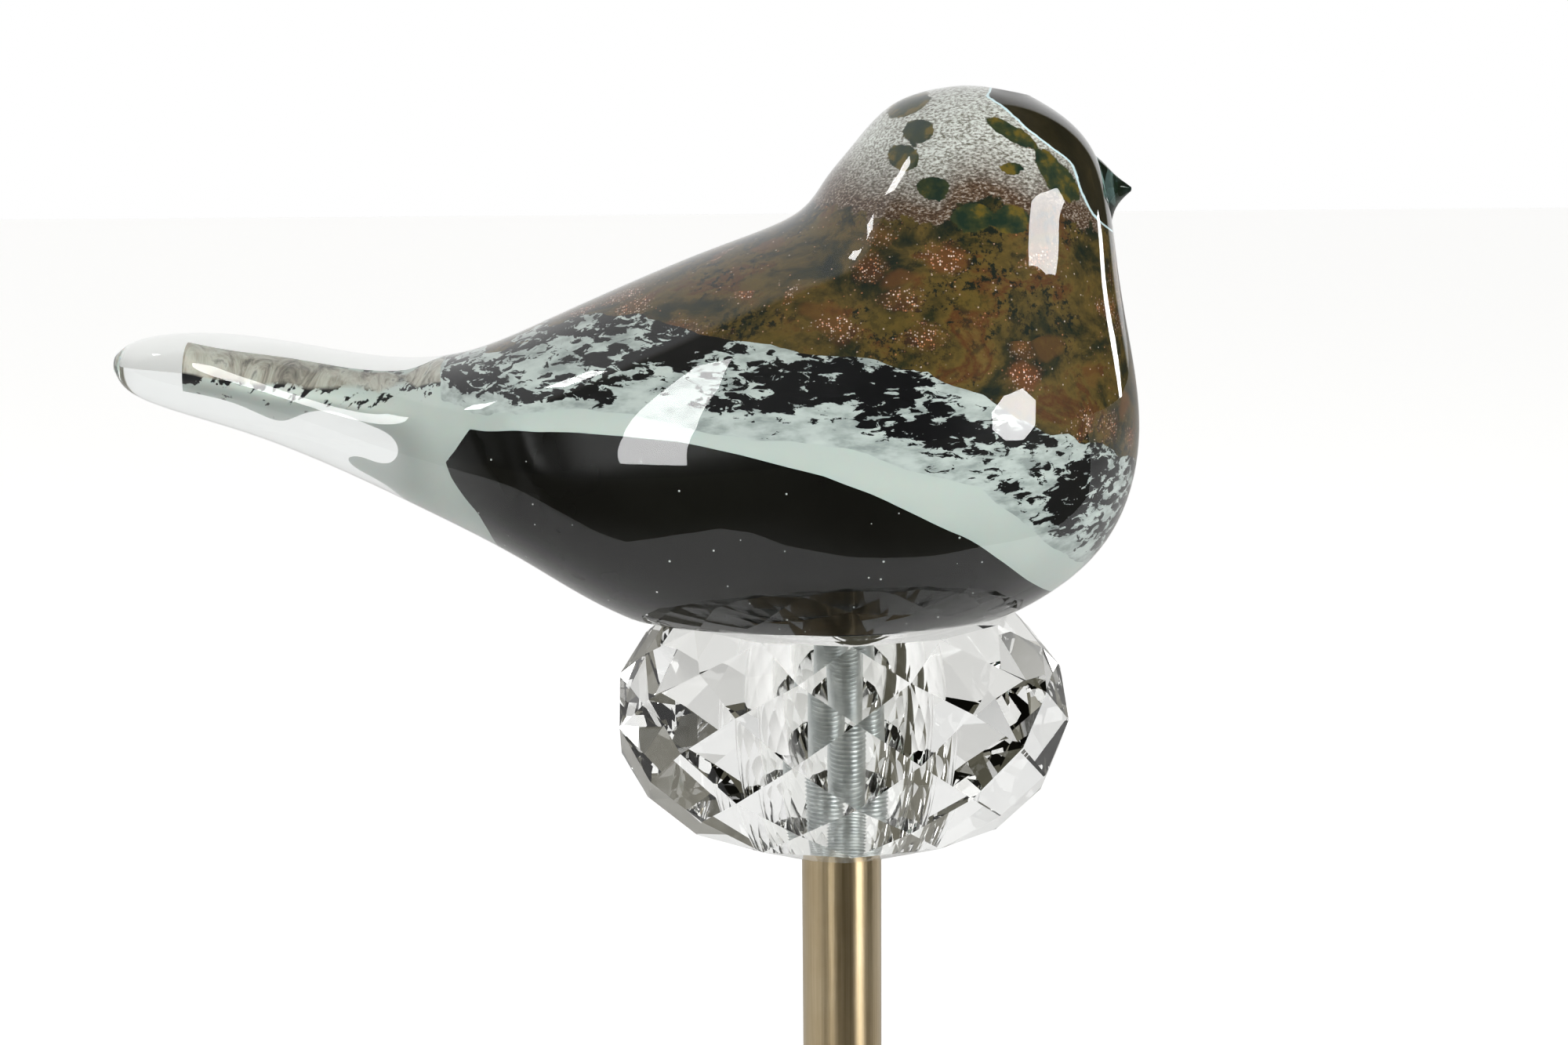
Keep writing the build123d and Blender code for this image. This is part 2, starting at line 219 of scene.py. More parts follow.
def eased(outline, radius, steps=4):
    """The same closed outline with each corner rounded."""
    smooth = []
    for i, corner in enumerate(outline):
        here = Vector(corner)
        before = Vector(outline[i - 1]) - here
        after = Vector(outline[(i + 1) % len(outline)]) - here
        reach = min(radius, before.length * 0.45, after.length * 0.45)
        if reach < 0.02 or before.angle(after) > math.radians(165):
            smooth.append(tuple(here))
            continue
        start = here + before.normalized() * reach
        end = here + after.normalized() * reach
        for k in range(steps + 1):
            t = k / steps
            smooth.append(tuple(start * (1 - t) ** 2 + here * 2 * t * (1 - t) + end * t ** 2))
    return smooth


def finished(name, mesh, material, body, slot, *nodes, sharp=35):
    """Links a piece, shades it, hangs it on the body it rides on, and hides the nodes it stands for."""
    mesh.validate()
    mesh.shade_smooth()
    mesh.set_sharp_from_angle(angle=math.radians(sharp))
    mesh.materials.clear()
    mesh.materials.append(material)
    piece = in_scene(name, mesh)
    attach(piece, body)
    if nodes:
        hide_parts(*nodes)


def mesh_from(bm, name):
    """The mesh of a built form, with its faces pointing outwards."""
    bmesh.ops.recalc_face_normals(bm, faces=bm.faces[:])
    mesh = bpy.data.meshes.new(name)
    bm.to_mesh(mesh)
    bm.free()
    return mesh


def turned(name, outline, around=128):
    """A mesh turned on the stem's axis from a closed outline of (radius, height) in mm."""
    bm = bmesh.new()
    rings = []
    for k in range(around):
        c, s = math.cos(2 * math.pi * k / around), math.sin(2 * math.pi * k / around)
        rings.append([bm.verts.new((r * c * MM, r * s * MM, z * MM)) for r, z in outline])
    for k in range(around):
        this, following = rings[k], rings[(k + 1) % around]
        for i in range(len(outline)):
            j = (i + 1) % len(outline)
            bm.faces.new((this[i], following[i], following[j], this[j]))
    bmesh.ops.remove_doubles(bm, verts=bm.verts[:], dist=1e-7)
    return mesh_from(bm, name)


def heights(node):
    """Lowest and highest height of a node, in mm."""
    low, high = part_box(node)
    return low.z / MM, high.z / MM


def outer_radius(node):
    """Half the width of a round node, in mm."""
    low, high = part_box(node)
    return (high.y - low.y) / 2 / MM


def place(tree, scale=(1, 1, 1), turn=(0, 0, 0)):
    """Object coordinates, turned and stretched."""
    where = add_node(tree, "ShaderNodeTexCoord")
    mapping = add_node(tree, "ShaderNodeMapping", {"Scale": scale, "Rotation": turn})
    tree.links.new(where.outputs["Object"], mapping.inputs["Vector"])
    return mapping.outputs[0]


def grain(tree, vector, scale, detail=3.0, roughness=0.55, distortion=0.0):
    """A noise value."""
    node = add_node(tree, "ShaderNodeTexNoise",
                    {"Scale": scale, "Detail": detail, "Roughness": roughness, "Distortion": distortion})
    tree.links.new(vector, node.inputs["Vector"])
    return node.outputs["Fac"]


def ramp(tree, value, stops):
    """A colour ramp through (position, colour) stops."""
    node = add_node(tree, "ShaderNodeValToRGB")
    band = node.color_ramp
    while len(band.elements) < len(stops):
        band.elements.new(0.5)
    for element, (position, colour) in zip(band.elements, stops):
        element.position = position
        element.color = (*colour, 1)
    tree.links.new(value, node.inputs["Fac"])
    return node.outputs["Color"]


def remap(tree, value, low, high, to_low=0.0, to_high=1.0):
    """A value stretched from one range to another and kept inside it."""
    node = add_node(tree, "ShaderNodeMapRange", {"From Min": low, "From Max": high,
                                                 "To Min": to_low, "To Max": to_high})
    tree.links.new(value, node.inputs["Value"])
    return node.outputs[0]


def blended(tree, amount, first, second, how="MIX"):
    """Two colours mixed by an amount; either may be a plain colour."""
    node = add_node(tree, "ShaderNodeMix", data_type="RGBA", blend_type=how)
    for key, value in ((6, first), (7, second)):
        if isinstance(value, tuple):
            node.inputs[key].default_value = (*value, 1)
        else:
            tree.links.new(value, node.inputs[key])
    if isinstance(amount, float):
        node.inputs[0].default_value = amount
    else:
        tree.links.new(amount, node.inputs[0])
    return node.outputs[2]


def painted(tree, shader, colour):
    """Gives the shader a colour that varies over the piece."""
    tree.links.new(colour, shader.inputs["Base Color"])


def bump(tree, shader, height, depth, strength=1.0):
    """Relief from a height value."""
    node = add_node(tree, "ShaderNodeBump", {"Strength": strength, "Distance": depth})
    tree.links.new(height, node.inputs["Height"])
    tree.links.new(node.outputs[0], shader.inputs["Normal"])


felt, tree, shader = surface("dark wool felt", Roughness=0.95, Sheen_Weight=0.4, Sheen_Roughness=0.6,
                             Specular_IOR_Level=0.2)
fibres = grain(tree, place(tree), 900, 6, 0.7)
painted(tree, shader, ramp(tree, fibres, [(0.3, (0.045, 0.042, 0.037)), (0.7, (0.11, 0.105, 0.09))]))
bump(tree, shader, fibres, 0.0004)
low, high = heights("base_felt")
rim = outer_radius("base_felt")
nut_window = 18.0
pad = turned("felt_pad", eased([(nut_window, low), (rim, low), (rim, high), (nut_window, high)], 0.6))
finished("felt_pad", pad, felt, "stand", "felt", "base_felt")

# ---- weight -----------------------------------------------------------------------------------
# A rough cast-iron disc that fills the cover, machined flat below with a recess for the nut.
iron, tree, shader = surface("cast iron", Metallic=0.85, Roughness=0.7)
skin = grain(tree, place(tree), 500, 5, 0.6)
painted(tree, shader, ramp(tree, skin, [(0.3, (0.03, 0.03, 0.032)), (0.75, (0.09, 0.088, 0.085))]))
bump(tree, shader, skin, 0.0003)
low, high = heights("base_weight")
rim = outer_radius("base_weight")
rod_hole = 6.2                  # plain hole that the rod passes through
recess_top = 13.0
ledge, shoulder, flat_top = 60.2, 37.2, 13.0    # radii where the casting steps, slopes and levels
casting = [(rod_hole, recess_top), (nut_window, recess_top), (nut_window, low), (rim, low),
           (rim, low + 4), (rim - 3, low + 6), (ledge, low + 6), (ledge, low + 9.5),
           (shoulder, high - 4.2), (flat_top, high), (rod_hole, high)]
finished("cast_weight", turned("cast_weight", eased(casting, 0.8)), iron, "stand", "cast_iron",
         "base_weight")

# ---- cover ------------------------------------------------------------------------------------
# Spun brass, a round foot, a step and a low dome, brushed as it turned on the lathe, then
# antiqued dark and lacquered. It sits over the weight and the collar presses it down.


def antique_brass(name, lengthwise):
    """Brushed brass darkened with age, with the brush marks along the stem or round it."""
    material, tree, shader = surface(name, Metallic=1.0, Coat_Weight=0.25, Coat_Roughness=0.12)
    where = place(tree)
    if lengthwise:
        marks = grain(tree, place(tree, (1, 1, 0.012)), 2600, 3, 0.6)
    else:
        split = add_node(tree, "ShaderNodeSeparateXYZ")
        tree.links.new(where, split.inputs[0])
        flat = add_node(tree, "ShaderNodeCombineXYZ")
        tree.links.new(split.outputs["X"], flat.inputs["X"])
        tree.links.new(split.outputs["Y"], flat.inputs["Y"])
        length = add_node(tree, "ShaderNodeVectorMath", operation="LENGTH")
        tree.links.new(flat.outputs[0], length.inputs[0])
        line = add_node(tree, "ShaderNodeCombineXYZ")
        tree.links.new(length.outputs["Value"], line.inputs["X"])
        tree.links.new(split.outputs["Z"], line.inputs["Z"])
        marks = grain(tree, line.outputs[0], 2600, 3, 0.6)
    patina = grain(tree, where, 55, 5, 0.6)
    metal = ramp(tree, marks, [(0.3, (0.47, 0.37, 0.22)), (0.7, (0.6, 0.49, 0.32))])
    aged = ramp(tree, patina, [(0.3, (0.78, 0.7, 0.58)), (0.6, (1, 1, 1))])
    painted(tree, shader, blended(tree, 0.5, metal, aged, "MULTIPLY"))
    smooth, rough = (0.3, 0.4) if lengthwise else (0.16, 0.24)
    tree.links.new(remap(tree, marks, 0.3, 0.7, smooth, rough), shader.inputs["Roughness"])
    bump(tree, shader, marks, 0.000004, 0.5)
    if lengthwise:
        shader.inputs["Anisotropic"].default_value = 0.85
        shader.inputs["Anisotropic Rotation"].default_value = 0.25
        round_stem = add_node(tree, "ShaderNodeTangent", direction_type="RADIAL", axis="Z")
        tree.links.new(round_stem.outputs[0], shader.inputs["Tangent"])
    return material


lathe_brass = antique_brass("antique brass, lathe brushed", False)
low, high = heights("base_cover")
foot = outer_radius("base_cover")
step = low + 8
gauge = 1.2                     # thickness of the spun sheet


def arc(centre, radius, start, end, count=8):
    """Points on an arc, angles in degrees."""
    return [(centre[0] + radius * math.cos(math.radians(start + (end - start) * k / count)),
             centre[1] + radius * math.sin(math.radians(start + (end - start) * k / count)))
            for k in range(count + 1)]


dome_edge, dome_seat = 62, 15   # radii of the dome's foot and of the flat for the collar
dome_rise = [(dome_edge - (dome_edge - dome_seat) * t,
              step + 4 + (high - step - 4) * math.sin(t * math.pi / 2) ** 0.9)
             for t in np.linspace(0, 1, 14)[1:]]
outside = [(foot, low)] + arc((foot - 3, low + 5), 3, 0, 90) + [(66.4, step)]
outside += arc((66.0, step + 4), 4, 270, 180)[1:] + dome_rise + [(rod_hole, high)]
inside = [(foot - gauge, low)]
inside += [(max(r - gauge, rod_hole) if r > 14 else r, z - gauge) for r, z in outside[1:]]
finished("brass_cover", turned("brass_cover", outside + inside[::-1], 160), lathe_brass, "stand",
         "antique_brass", "base_cover", sharp=40)

# ---- nut and washers --------------------------------------------------------------------------
# Zinc-plated steel: a flat washer, a toothed lock washer and a thin hexagon nut draw the rod down.
zinc, tree, shader = surface("zinc plate", Metallic=1.0)
cloud = grain(tree, place(tree), 260, 5, 0.65)
painted(tree, shader, ramp(tree, cloud, [(0.3, (0.56, 0.59, 0.6)), (0.7, (0.74, 0.76, 0.76))]))
tree.links.new(remap(tree, cloud, 0.3, 0.7, 0.3, 0.45), shader.inputs["Roughness"])
bump(tree, shader, cloud, 0.00004)


def ring_through(name, levels):
    """A closed ring through levels of (height, [(angle, outer radius, hole radius), ...])."""
    bm = bmesh.new()
    loops = []
    for height, spots in levels:
        loops.append([[bm.verts.new((r * math.cos(a) * MM, r * math.sin(a) * MM, height * MM))
                       for r in (reach, hole)] for a, reach, hole in spots])
    bottom, top = loops[0], loops[-1]
    for k in range(len(bottom)):
        n = (k + 1) % len(bottom)
        for under, over in zip(loops, loops[1:]):
            bm.faces.new((under[k][0], under[n][0], over[n][0], over[k][0]))
            bm.faces.new((under[n][1], under[k][1], over[k][1], over[n][1]))
        bm.faces.new((top[k][0], top[n][0], top[n][1], top[k][1]))
        bm.faces.new((bottom[n][0], bottom[k][0], bottom[k][1], bottom[n][1]))
    return mesh_from(bm, name)


low, high = heights("base_washer")
washer_rim = 12.0
flat = turned("flat_washer", eased([(rod_hole, low), (washer_rim, low), (washer_rim, high),
                                    (rod_hole, high)], 0.3))
finished("flat_washer", flat, zinc, "stand", "zinc_steel", "base_washer")

low, high = heights("base_lock_washer")
teeth, per_tooth, tooth_reach, tooth_root, tooth_twist = 10, 8, 10.5, 9.2, 0.35
levels = []
for height, way in ((low, -1), (high, 1)):
    spots = []
    for k in range(teeth * per_tooth):
        on_tooth = k % per_tooth in (3, 4, 5)
        turn = way * tooth_twist / tooth_reach if on_tooth else 0
        spots.append((2 * math.pi * k / (teeth * per_tooth) + turn,
                      tooth_reach if on_tooth else tooth_root, rod_hole))
    levels.append((height, spots))
finished("lock_washer", ring_through("lock_washer", levels), zinc, "stand", "zinc_steel",
         "base_lock_washer")

low, high = heights("base_nut")
per_flat, half_flats, chamfer, tapped_hole = 8, 9.5, 0.9, 6.05
levels = []
for height, at_face in ((low, True), (low + chamfer, False), (high - chamfer, False), (high, True)):
    spots = []
    for k in range(6 * per_flat):
        a = 2 * math.pi * k / (6 * per_flat)
        reach = half_flats / math.cos((a + math.pi / 6) % (math.pi / 3) - math.pi / 6)
        if at_face:
            spots.append((a, min(reach, half_flats + 0.15), tapped_hole + 0.5))
        else:
            spots.append((a, reach, tapped_hole))
    levels.append((height, spots))
finished("hex_nut", ring_through("hex_nut", levels), zinc, "stand", "zinc_steel", "base_nut")

# ---- threaded rod -----------------------------------------------------------------------------
# One length of fine-threaded rod, 12 mm over a 1 mm pitch, from the nut up through the tube and
# the crystal into the bush in the bird. The thread is a ridge that winds round a plain core.
low, high = heights("threaded_rod")
thread_pitch, thread_depth, rod_bevel = 1.0, 0.55, 0.6
crest = outer_radius("threaded_rod")


def geometry_tree(name, **sockets):
    """An empty geometry tree with named inputs, the sockets they give, and its link function."""
    tree = bpy.data.node_groups.new(name, "GeometryNodeTree")
    tree.interface.new_socket("Geometry", in_out="OUTPUT", socket_type="NodeSocketGeometry")
    for label, kind in sockets.items():
        tree.interface.new_socket(label.replace("_", " "), in_out="INPUT",
                                  socket_type="NodeSocket" + kind)
    return tree, tree.nodes.new("NodeGroupInput").outputs, tree.links.new


def hand_out(tree, geometry, finish):
    """Ends a geometry tree with real geometry that has its finish."""
    real = add_node(tree, "GeometryNodeRealizeInstances")
    coated = add_node(tree, "GeometryNodeSetMaterial")
    tree.links.new(geometry, real.inputs[0])
    tree.links.new(real.outputs[0], coated.inputs["Geometry"])
    tree.links.new(finish, coated.inputs["Material"])
    tree.links.new(coated.outputs[0], tree.nodes.new("NodeGroupOutput").inputs[0])


def raised(tree, geometry, height):
    """Geometry moved straight up."""
    shift = add_node(tree, "ShaderNodeCombineXYZ")
    moved = add_node(tree, "GeometryNodeTransform")
    tree.links.new(height, shift.inputs["Z"])
    tree.links.new(geometry, moved.inputs["Geometry"])
    tree.links.new(shift.outputs[0], moved.inputs["Translation"])
    return moved.outputs[0]


thread, given, link = geometry_tree("wound thread", Crest_radius="Float", Root_radius="Float",
                                    Pitch="Float", Length="Float", Foot="Float", Finish="Material")
wind = add_node(thread, "GeometryNodeCurveSpiral", {"Resolution": 32})
link(calc(thread, "DIVIDE", given["Length"], given["Pitch"]), wind.inputs["Rotations"])
link(given["Root radius"], wind.inputs["Start Radius"])
link(given["Root radius"], wind.inputs["End Radius"])
link(given["Length"], wind.inputs["Height"])
upright = add_node(thread, "GeometryNodeSetCurveNormal", mode="Z_UP")
link(wind.outputs["Curve"], upright.inputs["Curve"])
ridge = add_node(thread, "GeometryNodeCurvePrimitiveCircle", {"Resolution": 3})
link(calc(thread, "SUBTRACT", given["Crest radius"], given["Root radius"]), ridge.inputs["Radius"])
point_out = add_node(thread, "GeometryNodeTransform", {"Rotation": (0, 0, math.pi)})
link(ridge.outputs["Curve"], point_out.inputs["Geometry"])
swept = add_node(thread, "GeometryNodeCurveToMesh", {"Fill Caps": True})
link(upright.outputs[0], swept.inputs["Curve"])
link(point_out.outputs[0], swept.inputs["Profile Curve"])
core = add_node(thread, "GeometryNodeMeshCylinder", {"Vertices": 64})
link(calc(thread, "SUBTRACT", given["Root radius"], 0.0001), core.inputs["Radius"])
link(given["Length"], core.inputs["Depth"])
both = add_node(thread, "GeometryNodeJoinGeometry")
link(raised(thread, core.outputs["Mesh"], calc(thread, "MULTIPLY", given["Length"], 0.5)), both.inputs[0])
link(swept.outputs[0], both.inputs[0])
hand_out(thread, raised(thread, both.outputs[0], given["Foot"]), given["Finish"])


def made_plain(holder):
    """The plain mesh that an object's modifiers make. The object itself goes."""
    depsgraph = bpy.context.evaluated_depsgraph_get()
    depsgraph.update()
    mesh = bpy.data.meshes.new_from_object(holder.evaluated_get(depsgraph))
    holder.modifiers.clear()
    bpy.data.objects.remove(holder)
    return mesh


def grown(name, group, start, **inputs):
    """The plain mesh that a geometry tree makes from a starting mesh and named inputs."""
    holder = in_scene(name + "_maker", start)
    modifier = holder.modifiers.new(name, "NODES")
    modifier.node_group = group
    for item in group.interface.items_tree:
        key = item.name.replace(" ", "_")
        if item.in_out == "INPUT" and key in inputs:
            modifier[item.identifier] = inputs[key]
    mesh = made_plain(holder)
    mesh.name = name
    return mesh


rod_mesh = grown("wound_rod", thread, bpy.data.meshes.new("wound_rod"), Crest_radius=crest * MM,
                 Root_radius=(crest - thread_depth) * MM, Pitch=thread_pitch * MM,
                 Length=(high - low - 2 * rod_bevel) * MM, Foot=(low + rod_bevel) * MM, Finish=zinc)
finished("wound_rod", rod_mesh, zinc, "stand", "zinc_steel", "threaded_rod", sharp=25)

# ---- collar -----------------------------------------------------------------------------------
# Turned from bar to match the cover: a foot, a cove and a bead, with a socket for the tube.
low, high = heights("base_collar")
foot_reach, neck_reach = 14.0, 9.8
neck_start, neck_end = (foot_reach, low + 2.5), (neck_reach, high - 3.7)
cove = [(neck_start[0] + (neck_end[0] - neck_start[0]) * math.sin(t * math.pi / 2),
         neck_start[1] + (neck_end[1] - neck_start[1]) * (1 - math.cos(t * math.pi / 2)))
        for t in np.linspace(0, 1, 12)]
socket, socket_floor, bead = 8.05, low + 3, 1.1
ring_shape = [(rod_hole, low), (foot_reach - 0.3, low), (foot_reach, low + 0.3)] + cove
ring_shape += [(neck_reach, high - 2 * bead)] + arc((neck_reach, high - bead), bead, -90, 90)[1:]
ring_shape += [(socket, high), (socket, socket_floor), (rod_hole, socket_floor)]
finished("brass_collar", turned("brass_collar", ring_shape), lathe_brass, "stand", "antique_brass",
         "base_collar", sharp=40)

# ---- tube -------------------------------------------------------------------------------------
# Drawn brass tube, brushed along its length and antiqued to match the cover, ends faced square.
drawn_brass = antique_brass("antique brass, long brushed", True)
low, high = heights("stem_tube")
bore, rim = 7.2, 8.0
tube = turned("brass_tube", eased([(bore, low), (rim, low), (rim, high), (bore, high)], 0.25))
finished("brass_tube", tube, drawn_brass, "stand", "antique_brass", "stem_tube")

# ---- bushes -----------------------------------------------------------------------------------
# Turned brass: two bare ones keep the rod central in the tube, and one, blackened so that it
# can't be seen through the clear base, is glued up into the bird.
bare_brass, tree, shader = surface("bare turned brass", Metallic=1.0, Roughness=0.3)
lines = grain(tree, place(tree, (0.02, 0.02, 1)), 1800, 2)
painted(tree, shader, ramp(tree, lines, [(0.35, (0.62, 0.44, 0.18)), (0.65, (0.78, 0.6, 0.3))]))
bump(tree, shader, lines, 0.00004)
for node in ("stem_plug_lower", "stem_plug_upper"):
    low, high = heights(node)
    slip = bore - 0.05
    bush = turned(node, eased([(rod_hole, low), (slip, low), (slip, high), (rod_hole, high)], 0.2))
    finished(node.replace("stem", "brass"), bush, bare_brass, "stand", "turned_brass", node)
low, high = heights("bird_insert")
black_brass, tree, shader = surface("blackened brass", Metallic=0.6, Roughness=0.5)
painted(tree, shader, ramp(tree, grain(tree, place(tree, (0.02, 0.02, 1)), 1800, 2),
                           [(0.35, (0.008, 0.008, 0.009)), (0.65, (0.02, 0.02, 0.02))]))
rim, closed_end = 9.0, 2.0
bush = [(tapped_hole, low), (rim, low), (rim, high), (0, high), (0, high - closed_end),
        (tapped_hole, high - closed_end)]
finished("bird_bush", turned("bird_bush", eased(bush, 0.2)), black_brass, "bird", "blackened_brass",
         "bird_insert")

# ---- clear washers ----------------------------------------------------------------------------
# Thin clear silicone rings that keep glass off brass and glass off glass.
silicone, tree, shader = surface("clear silicone", Base_Color=(0.95, 0.96, 0.95, 1), IOR=1.41,
                                 Transmission_Weight=1.0)
tree.links.new(remap(tree, grain(tree, place(tree), 300), 0.3, 0.7, 0.05, 0.16),
               shader.inputs["Roughness"])
for node, outer in (("crystal_seat_washer", 8.0), ("bird_seat_washer", 25.0)):
    low, high = heights(node)
    seat = turned(node, eased([(rod_hole, low), (outer, low), (outer, high), (rod_hole, high)], 0.25))
    finished(node.replace("seat_washer", "cushion_ring"), seat, silicone, "stand", "clear_washer", node)

# ---- crystal rondelle -------------------------------------------------------------------------
# Clear crystal, twelve diamond facets round in five tiers, ground and polished flat, a wide flat
# on top for the bird and a shallow cone below. The bore is barrel shaped and polished.


def clear_glass(name, tint, ior):
    """Polished clear glass that lets lamp light through to what is inside it."""
    material, tree, shader = surface(name, Base_Color=(*tint, 1), IOR=ior, Transmission_Weight=1.0,
                                     Roughness=0.0)
    through = add_node(tree, "ShaderNodeBsdfTransparent", {"Color": (*tint, 1)})
    path = add_node(tree, "ShaderNodeLightPath")
    either = add_node(tree, "ShaderNodeMixShader")
    tree.links.new(path.outputs["Is Shadow Ray"], either.inputs[0])
    tree.links.new(shader.outputs[0], either.inputs[1])
    tree.links.new(through.outputs[0], either.inputs[2])
    tree.links.new(either.outputs[0], tree.nodes["Material Output"].inputs[0])
    return material


def circle_through(a, b, c):
    """Centre and radius of the circle through three points."""
    (ax, az), (bx, bz), (cx, cz) = a, b, c
    aa, bb, cc = ax**2 + az**2, bx**2 + bz**2, cx**2 + cz**2
    twice_area = 2 * (ax * (bz - cz) + bx * (cz - az) + cx * (az - bz))
    x = (aa * (bz - cz) + bb * (cz - az) + cc * (az - bz)) / twice_area
    z = (aa * (cx - bx) + bb * (ax - cx) + cc * (bx - ax)) / twice_area
    return x, z, math.hypot(ax - x, az - z)


facets = 12
half_step = math.cos(math.pi / facets)
first_corner = math.radians(2.4)
girdle, foot_radius = 45.4, 12.5
tiers = (0.0, 8.1, 14.3, 20.3)
tier_radii = [girdle, girdle * half_step]
for k in (1, 2):
    run = tier_radii[k] * half_step - tier_radii[k - 1]
    rise = (tiers[k + 1] - tiers[k - 1]) / (tiers[k] - tiers[k - 1])
    tier_radii.append(tier_radii[k - 1] + run * rise)
rings = [(radius, height, k % 2 == 0) for k, (radius, height) in enumerate(zip(tier_radii, tiers))]
rings += [(radius, -height, even) for radius, height, even in rings[1:]]
rings.append((foot_radius, -crystal_depth, False))
bm = bmesh.new()
for radius, height, even in rings:
    for j in range(facets):
        a = first_corner + 2 * math.pi / facets * (j + (0.5 if even else 0))
        bm.verts.new((radius * math.sin(a) * MM, -radius * math.cos(a) * MM, equator + height * MM))
bmesh.ops.convex_hull(bm, input=bm.verts[:])
bmesh.ops.dissolve_limit(bm, angle_limit=0.02, verts=bm.verts[:], edges=bm.edges[:])
blank = in_scene("crystal_blank", mesh_from(bm, "crystal_blank"))
bore_x, bore_z, bore_arc = circle_through((6.8, -crystal_depth), (13.6, 0), (10.5, tiers[-1]))
drill_past = 0.4                # how far the cutter runs out of either end
bottom, top = -crystal_depth - drill_past, tiers[-1] + drill_past
middle = equator / MM
barrel = [(bore_x + math.sqrt(bore_arc**2 - (z - bore_z) ** 2), middle + z)
          for z in np.linspace(bottom, top, 40)]
drill_mesh = turned("drill", [(0, middle + bottom)] + barrel + [(0, middle + top)], 120)
drill = in_scene("drill", drill_mesh)
drill_mesh.shade_smooth()
cut = blank.modifiers.new("bore", "BOOLEAN")
cut.object, cut.operation, cut.solver = drill, "DIFFERENCE", "EXACT"
crystal_mesh = made_plain(blank)
bpy.data.objects.remove(drill)
crystal_glass = clear_glass("cut crystal", (0.985, 0.99, 0.975), 1.53)
finished("crystal_rondelle_cut", crystal_mesh, crystal_glass, "stand", "crystal", "crystal_rondelle",
         sharp=8)

# ---- bird: clear outer gather -----------------------------------------------------------------
# The whole bird is one gather of clear glass over coloured cores, blown solid, swung to pull the
# tail out, and ground flat underneath. Each row is a section, from tail tip to crown: where it
# meets the back line, where it meets the belly and breast line, in side view, and its half width.
bird_rows = [
    (-140.6, 72.2, -140.7, 68.4, 3.0),
    (-137.5, 74.4, -138.2, 65.0, 6.5),
    (-118.0, 75.8, -115.0, 56.6, 13.5),
    (-90.0, 71.3, -82.0, 42.3, 22.0),
    (-72.5, 72.2, -60.5, 31.0, 29.5),
    (-56.0, 78.6, -40.0, 19.5, 36.5),
    (-26.0, 91.2, 6.0, 12.6, 44.5),
    (-7.5, 99.0, 44.0, 26.6, 44.3),
    (-2.6, 105.0, 55.4, 41.3, 40.5),
    (2.5, 111.2, 58.0, 60.0, 35.0),
    (11.0, 119.4, 53.8, 86.0, 27.5),
    (20.5, 122.2, 49.6, 108.0, 19.5),
    (24.0, 122.5, 43.5, 116.0, 13.5),
    (26.5, 122.4, 36.5, 120.5, 7.5),
]


def faired(rows, steps):
    """Rows of numbers joined by natural cubic curves, with steps between each two."""
    rows = np.array(rows, float)
    count = len(rows)
    middles = (rows[:, 0:2] + rows[:, 2:4]) / 2
    gaps = np.sqrt(np.hypot(*(middles[1:] - middles[:-1]).T))
    system = np.zeros((count, count))
    system[0, 0] = system[-1, -1] = 1
    right = np.zeros_like(rows)
    for i in range(1, count - 1):
        before, after = gaps[i - 1], gaps[i]
        system[i, i - 1:i + 2] = before, 2 * (before + after), after
        right[i] = 6 * ((rows[i + 1] - rows[i]) / after - (rows[i] - rows[i - 1]) / before)
    bend = np.linalg.solve(system, right)
    fair = []
    for i in range(count - 1):
        for b in np.linspace(0, 1, steps, endpoint=False):
            a = 1 - b
            fair.append(a * rows[i] + b * rows[i + 1]
                        + ((a**3 - a) * bend[i] + (b**3 - b) * bend[i + 1]) * gaps[i]**2 / 6)
    return np.array(fair + [rows[-1]])


def oval_body(name, rows, steps, around, base_height, cap_depth):
    """A closed mesh through oval sections, with rounded ends and a ground flat."""
    bm = bmesh.new()
    fair = faired(rows, steps)

    def ring(top, bottom, width):
        middle, half = (top + bottom) / 2, (top - bottom) / 2
        return [bm.verts.new(((middle[0] + half[0] * math.cos(a)) * MM, width * math.sin(a) * MM,
                              equator + (middle[1] + half[1] * math.cos(a)) * MM))
                for a in np.linspace(0, 2 * math.pi, around, endpoint=False)]

    def cap(row, sign):
        top, bottom, width = row[0:2], row[2:4], row[4]
        middle, half = (top + bottom) / 2, (top - bottom) / 2
        out = np.array((half[1], -half[0])) / np.hypot(*half) * sign
        rings = []
        for a in (20, 40, 58, 74):
            c, s = math.cos(math.radians(a)), math.sin(math.radians(a))
            moved = middle + out * cap_depth * s
            rings.append(ring(moved + half * c, moved - half * c, width * c))
        tip = middle + out * cap_depth
        return rings, bm.verts.new((tip[0] * MM, 0, equator + tip[1] * MM))

    tail_rings, tail_tip = cap(fair[0], -1)
    crown_rings, crown_tip = cap(fair[-1], 1)
    rings = tail_rings[::-1] + [ring(r[0:2], r[2:4], r[4]) for r in fair] + crown_rings
    for before, after in zip(rings, rings[1:]):
        for k in range(around):
            n = (k + 1) % around
            bm.faces.new((before[k], before[n], after[n], after[k]))
    for k in range(around):
        n = (k + 1) % around
        bm.faces.new((tail_tip, rings[0][n], rings[0][k]))
        bm.faces.new((crown_tip, rings[-1][k], rings[-1][n]))
    bmesh.ops.recalc_face_normals(bm, faces=bm.faces[:])
    whole = bm.verts[:] + bm.edges[:] + bm.faces[:]
    cut = bmesh.ops.bisect_plane(bm, geom=whole, plane_co=(0, 0, base_height), plane_no=(0, 0, -1),
                                 clear_outer=True)
    rim = [e for e in cut["geom_cut"] if isinstance(e, bmesh.types.BMEdge)]
    bmesh.ops.holes_fill(bm, edges=rim, sides=0)
    return mesh_from(bm, name)


